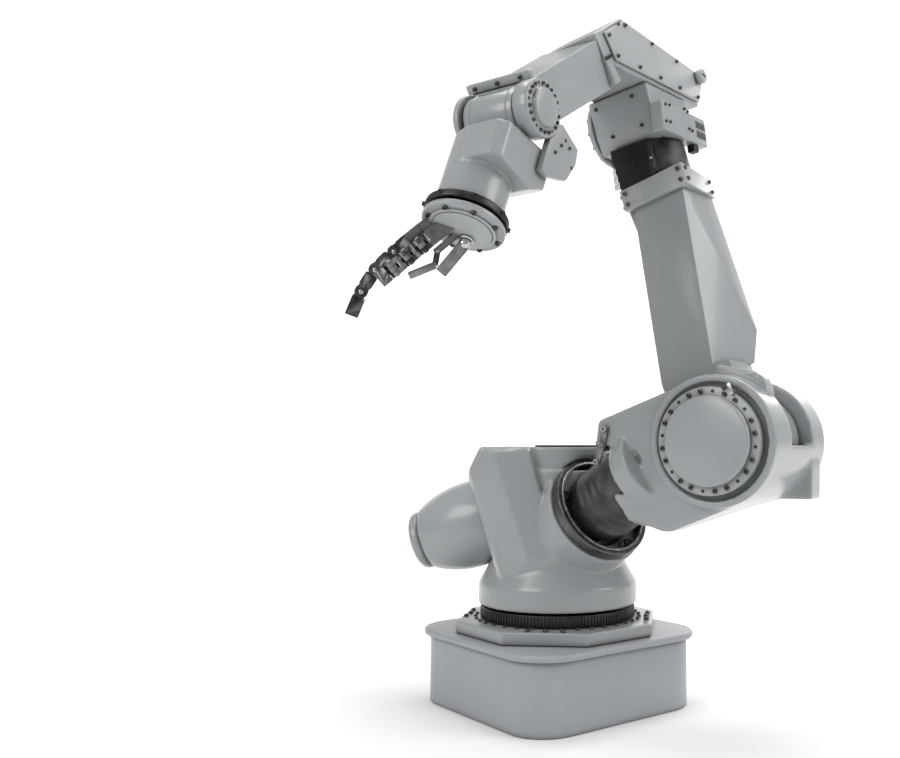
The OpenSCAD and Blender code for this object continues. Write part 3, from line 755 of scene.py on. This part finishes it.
def dress_base():
    """Screws of the foot plate, and the teeth and bolts of the slewing ring."""
    top = Face("foot_plate", UP).centre.z
    foot_screw_d = 0.010
    for k in range(4):
        turn = Matrix.Rotation(math.radians(45 + 90 * k), 3, "Z")
        for out, aside in ((0.195, -0.036), (0.195, 0.036), (0.193, 0)):
            small.add("base", SCREW, cap_screw, frame_at(turn @ Vector((out, aside, top)), UP), foot_screw_d)
    ring = NODES["slew_ring"].data
    radius = max(v.co.xy.length for v in ring.vertices)
    low, high = min(v.co.z for v in ring.vertices), max(v.co.z for v in ring.vertices)
    teeth, tooth_sink, tooth_size = 144, 0.0004, ((high - low) * 0.72, 0.0042, 0.0022)
    for k in range(teeth):
        out = around(k / teeth)
        at = out * (radius - tooth_sink) + UP * (low + high) / 2
        small.add("base", IRON, slab, frame_at(at, out, UP), tooth_size)
    bolts, bolt_out, bolt_d = 36, 0.012, 0.0075
    for k in range(bolts):
        at = around((k + 0.5) / bolts) * (radius + bolt_out) + UP * top
        small.add("base", SCREW, cap_screw, frame_at(at, UP), bolt_d)


def dress_head():
    """Screws, vents, ribs and plug of the head, its motor box and roll panel, and the flanges' screws."""
    side = RIGHT + TO_CAMERA * 0.5
    front = TO_CAMERA - RIGHT * 0.35
    cover_inset, cover_pitch, cover_screw_d, pin_d = 0.009, 0.085, 0.0075, 0.006
    cover = Face("side_cover", side)
    small.along_outline(cover, cover_inset, cover_pitch, cap_screw, SCREW, cover_screw_d)
    small.seen(cover, [(618, 24), (624, 26)], cap_screw, SCREW, pin_d)
    # The knob's slot is a thin dark iron strip standing on the knob: painted shade for the groove
    knob_slot = (0.017, 0.003, 0.0012)
    small.at(Face("vent_knob", side), [(0, 0)], slab, IRON, knob_slot)

    box = Face("head_motor_box", side)
    box_screw_d = 0.0062
    small.seen(box, [(665, 104), (669, 105), (666, 121), (670, 122), (684, 109), (687, 112), (689, 129),
                     (692, 131)], cap_screw, SCREW, box_screw_d)
    # The vent slots are thin dark iron strips standing on the box: painted shade for the slots' openings
    vents, vent_from, vent_step, vent_rows = 7, 0.52, 0.065, (-0.34, 0.34)
    vent_size = (0.0022, box.half_v * 0.5, 0.0008)
    for row in vent_rows:
        for column in range(vents):
            at = box.at(box.half_u * (vent_from + vent_step * column), box.half_v * row)
            small.add(box.body, IRON, slab, frame_at(at, box.normal, box.u), vent_size)
    plug_along, plug_size = 0.55, (0.020, 0.018, 0.016)
    plug = box.at(box.half_u * plug_along, -box.half_v, -plug_size[2])
    small.add(box.body, BLACK, slab, frame_at(plug, -box.v, box.u), plug_size)

    head_screw_d, disc_screws, disc_inset = 0.0072, 14, 0.008
    small.seen(Face("head_housing", front), [(596, 110), (613, 137), (642, 125), (632, 96)], cap_screw, SCREW,
               head_screw_d)
    disc = Face("head_disc", -RIGHT)
    small.ring(disc, disc.half_u - disc_inset, disc_screws, cap_screw, SCREW, head_screw_d)

    panel = Face("roll_panel", front)
    ribs, rib_from, rib_span = 30, -0.94, 1.6
    rib_size = (0.0013, panel.half_v * 1.86, 0.0011)
    for k in range(ribs):
        u = panel.half_u * (rib_from + rib_span * k / (ribs - 1))
        small.add(panel.body, BLACK, slab, frame_at(panel.at(u, 0), panel.normal, panel.u), rib_size)
    bar_along, bar_size, bar_screw_d = 0.86, (0.009, panel.half_v * 1.5, 0.003), 0.006
    bar = panel.at(panel.half_u * bar_along, 0)
    small.add(panel.body, IRON, slab, frame_at(bar, panel.normal, panel.u), bar_size)
    bar_top = bar + panel.normal * bar_size[2]
    small.add(panel.body, BRIGHT, cap_screw, frame_at(bar_top, panel.normal), bar_screw_d)

    flange_inset, flange_screw_d = 0.011, 0.0085
    for toward in (TO_CAMERA - RIGHT, TO_CAMERA + RIGHT, -TO_CAMERA + RIGHT, -TO_CAMERA - RIGHT):
        small.corners(Face("upper_arm_flange", toward), flange_inset, cap_screw, SCREW, flange_screw_d)
    strip_screw_d = 0.007
    strip = Face("forearm_flange", side)
    small.at(strip, [(0, strip.half_v * k) for k in (-0.75, 0, 0.75)], cap_screw, SCREW, strip_screw_d)
    plate_screw_d = 0.0075
    plate = Face("forearm_end_plate", TO_CAMERA)
    small.at(plate, [(plate.half_u * k, 0) for k in (-0.72, 0, 0.72)], cap_screw, SCREW, plate_screw_d)
    pad_down, pad_back, pad_size = 0.004, 0.014, (plate.half_u * 0.42, 0.018, 0.009)
    for k in (-0.45, 0.0, 0.45):
        under = plate.at(plate.half_u * k, -plate.half_v - pad_down, -pad_back)
        small.add(plate.body, RUBBER, slab, frame_at(under, -plate.v, plate.u), pad_size)


def dress_wrist():
    """Bolts of the wrist's discs and clamp lug, and the two seams of the wrist drum."""
    at, axis = joint_axis("wrist_pitch")
    axis = toward_camera(axis)
    bolts, bolt_r, bolt_d, hole_d = 22, 0.0415, 0.006, 0.005
    rim = Face("wrist_disc", axis)
    small.ring(rim, bolt_r, bolts, cap_screw, SCREW, bolt_d, every=lambda k: k % 4 != 3)
    # Open holes in dark iron: painted shade for their depth
    small.ring(rim, bolt_r, bolts, hole, IRON, hole_d, every=lambda k: k % 4 == 3)
    far_bolts, far_inset = 12, 0.008
    far = Face("wrist_far_disc", -axis)
    small.ring(far, far.half_u - far_inset, far_bolts, cap_screw, SCREW, bolt_d)
    lug_screw_d, lug_hole_d = 0.0055, 0.006
    lug = Face("wrist_clamp_lug", axis)
    screws = ((0.3, 0.25), (0.5, -0.3), (-0.1, 0.5))
    holes = ((0, -0.75), (0.6, 0.05))
    small.at(lug, [(lug.half_u * u, lug.half_v * v) for u, v in screws], cap_screw, SCREW, lug_screw_d)
    # Open holes in dark iron: painted shade for their depth
    small.at(lug, [(lug.half_u * u, lug.half_v * v) for u, v in holes], hole, IRON, lug_hole_d)
    drum_r, seam_w, seam_h = 0.043, 0.006, 0.0009
    for offset in (-0.030, 0.048):
        small.add("head", GREY, ridges, frame_at(at, axis), drum_r, offset, seam_w, 1, seam_h)


def dress_tool():
    """Screws and step of the tool flange, screws round the tool ring, and paint on the palm's plate."""
    at, axis = joint_axis("tool_roll")
    bolts, bolt_inset, bolt_d, bolt_turn = 8, 0.009, 0.0085, 0.25
    flange = Face("tool_flange", axis)
    small.ring(flange, flange.half_u - bolt_inset, bolts, cap_screw, SCREW, bolt_d, start=bolt_turn)
    step_inner, step_outer, step_h = 0.0505, 0.0565, 0.0035
    small.add("tool", PALE, band, frame_at(flange.centre, axis), step_inner, step_outer, step_h)
    half_ring = 0.0065
    ring_middle = at + axis * (reach_along("tool_ring", axis, at) - half_ring)
    for degrees in (20, 65, 112, 158, 205, 250, 292, 340):
        angle = math.radians(degrees)
        out = flange.u * math.cos(angle) + flange.v * math.sin(angle)
        small.add("wrist", BLACK, cap_screw, frame_at(ring_middle + out * flange.half_u, out), bolt_d)
    plate_h = 0.0052
    palm = NODES["palm"].data
    palm.materials.append(PALE)
    for p in palm.polygons:
        p.material_index = 1 if (p.center - flange.centre).dot(axis) < plate_h else 0


FINGER_W = 0.026
FINGER_T = 0.022
TONGUE_W = 0.0079


def dress_finger(name):
    """Knuckle lobes, bumpers and pin heads of a finger's links."""
    lobe_r, bumper_at, bumper_size, pin_d = 0.0114, 0.0108, (FINGER_W * 0.94, FINGER_T * 0.86, 0.0012), 0.008
    pins = [joint_axis(f"{name}_knuckle_{k}") for k in (1, 2, 3)]
    for k, (at, axis) in enumerate(pins):
        tip = pins[k + 1][0] if k < 2 else sum(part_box(f"{name}_finger_4"), Vector()) / 2
        along = (tip - at).normalized()
        body = BODY_OF[f"{name}_finger_{k + 2}"]
        # On the rear finger this is the darker copy of the hand metal, painted shade
        metal = finish_of(f"{name}_finger_2")
        small.add(body, metal, lobe, frame_at(at, axis, along), TONGUE_W, lobe_r, FINGER_T / 2)
        small.add(body, RUBBER, slab, frame_at(at + along * bumper_at, along, axis), bumper_size)
        for side in (-1, 1):
            head = frame_at(at + axis * side * FINGER_W / 2, axis * side)
            small.add(BODY_OF[f"{name}_finger_{k + 1}"], BRIGHT, dome_screw, head, pin_d)


def dress_hand():
    """The fingers' knuckles, the thumb's ball joint, and the link that holds the lower finger."""
    dress_finger("front")
    dress_finger("rear")
    axis = joint_axis("tool_roll")[1]
    ball_at, ball_r = Vector((0.35365, -0.46800, 0.88154)), 0.0104
    small.add("tool", CHROME, ball, frame_at(ball_at, axis), ball_r)
    seat_down, seat_inner, seat_outer, seat_h = 0.010, 0.006, 0.0125, 0.004
    small.add("tool", CHROME, band, frame_at(ball_at - axis * seat_down, axis), seat_inner, seat_outer, seat_h)
    link_r, pin_out, pin_d = 0.005, 0.004, 0.009
    palm_end = Vector((0.3198, -0.49889, 0.87235))
    finger_end = Vector((0.31597, -0.50135, 0.84784))
    small.add("tool", HAND_DARK_AND_SHADED, rod, palm_end, finger_end, link_r)
    for end in (palm_end, finger_end):
        small.add("tool", BRIGHT, dome_screw, frame_at(end + TO_CAMERA * pin_out, TO_CAMERA), pin_d)


dress_elbow()
dress_shoulder()
dress_base()
dress_head()
dress_wrist()
dress_tool()
dress_hand()
small.build()


# Floor, light and camera
def add_floor():
    """Sheet of white paper that curves up behind the arm, lit a little from inside towards its far end."""
    bm = bmesh.new()
    half, rise, bend, steps = 9.0, 7.0, 2.5, 12
    back = -TO_CAMERA
    path = [back * -half, back * (half - bend)]
    for k in range(1, steps + 1):
        a = math.pi / 2 * k / steps
        path.append(back * (half - bend + bend * math.sin(a)) + UP * bend * (1 - math.cos(a)))
    path.append(back * half + UP * rise)
    rows = [[bm.verts.new(p + RIGHT * s) for p in path] for s in (-half, half)]
    for k in range(len(path) - 1):
        bm.faces.new((rows[0][k], rows[1][k], rows[1][k + 1], rows[0][k + 1]))
    mesh = bpy.data.meshes.new("studio_floor")
    bm.to_mesh(mesh)
    bm.free()
    shade_smooth(mesh)
    mat, nodes, links, shader = new_material("studio_paper")
    tone = add_noise(nodes, links, scale=0.4)
    paper = add_colours(nodes, links, tone, low=(0.90, 0.90, 0.90), high=(0.93, 0.93, 0.93))
    links.new(paper, shader.inputs["Base Color"])
    shader.inputs["Roughness"].default_value = 0.8
    shader.inputs["Emission Color"].default_value = (1, 1, 1, 1)
    depth = axial(nodes, links, back)
    glow = add_range(nodes, links, depth, low=0.05, high=0.70, from_low=0.0, from_high=2.4)
    links.new(glow, shader.inputs["Emission Strength"])
    mesh.materials.append(mat)
    floor = bpy.data.objects.new("studio_floor", mesh)
    bpy.context.scene.collection.objects.link(floor)


ARM_MIDDLE = Vector((0.1, 0, 0.7))
WORLD_STRENGTH = 0.36
# Each light's name, place from the arm's middle, size in metres and power in watts
LIGHTS = (
    ("key", TO_CAMERA * 0.9 + RIGHT * 3.0 + UP * 1.6, (1.6, 2.8), 58),
    ("fill", TO_CAMERA * 2.4 - RIGHT * 2.4 + UP * 1.8, (1.8, 1.8), 54),
    ("top", UP * 3.0 - TO_CAMERA * 0.2, (2.6, 1.6), 56),
    ("rim", TO_CAMERA * -2.2 + RIGHT * 1.6 + UP * 1.8, (1.0, 2.0), 16),
)


def add_light(name, offset, size, power):
    """Soft panel of light that faces the arm's middle."""
    data = bpy.data.lights.new(name, "AREA")
    data.shape = "RECTANGLE"
    data.size, data.size_y = size
    data.energy = power
    light = bpy.data.objects.new(name, data)
    light.matrix_world = frame_at(ARM_MIDDLE + offset, offset)
    bpy.context.scene.collection.objects.link(light)


def add_studio():
    world = bpy.data.worlds.new("studio")
    bpy.context.scene.world = world
    world.use_nodes = True
    background = world.node_tree.nodes["Background"]
    background.inputs["Color"].default_value = (1, 1, 1, 1)
    background.inputs["Strength"].default_value = WORLD_STRENGTH
    for light in LIGHTS:
        add_light(*light)


def add_camera():
    data = bpy.data.cameras.new("camera")
    data.sensor_width = SENSOR_MM
    data.lens = FOCAL_PX / IMAGE[0] * SENSOR_MM
    data.shift_x = (IMAGE[0] / 2 - AXIS_PX[0]) / IMAGE[0]
    data.shift_y = (AXIS_PX[1] - IMAGE[1] / 2) / IMAGE[0]
    data.clip_end = CLIP_END
    camera = bpy.data.objects.new("camera", data)
    camera.matrix_world = frame_at(CAMERA_AT, BACKWARD, RIGHT)
    bpy.context.scene.collection.objects.link(camera)
    bpy.context.scene.camera = camera


add_floor()
add_studio()
add_camera()
bpy.context.scene.view_settings.view_transform = "Standard"
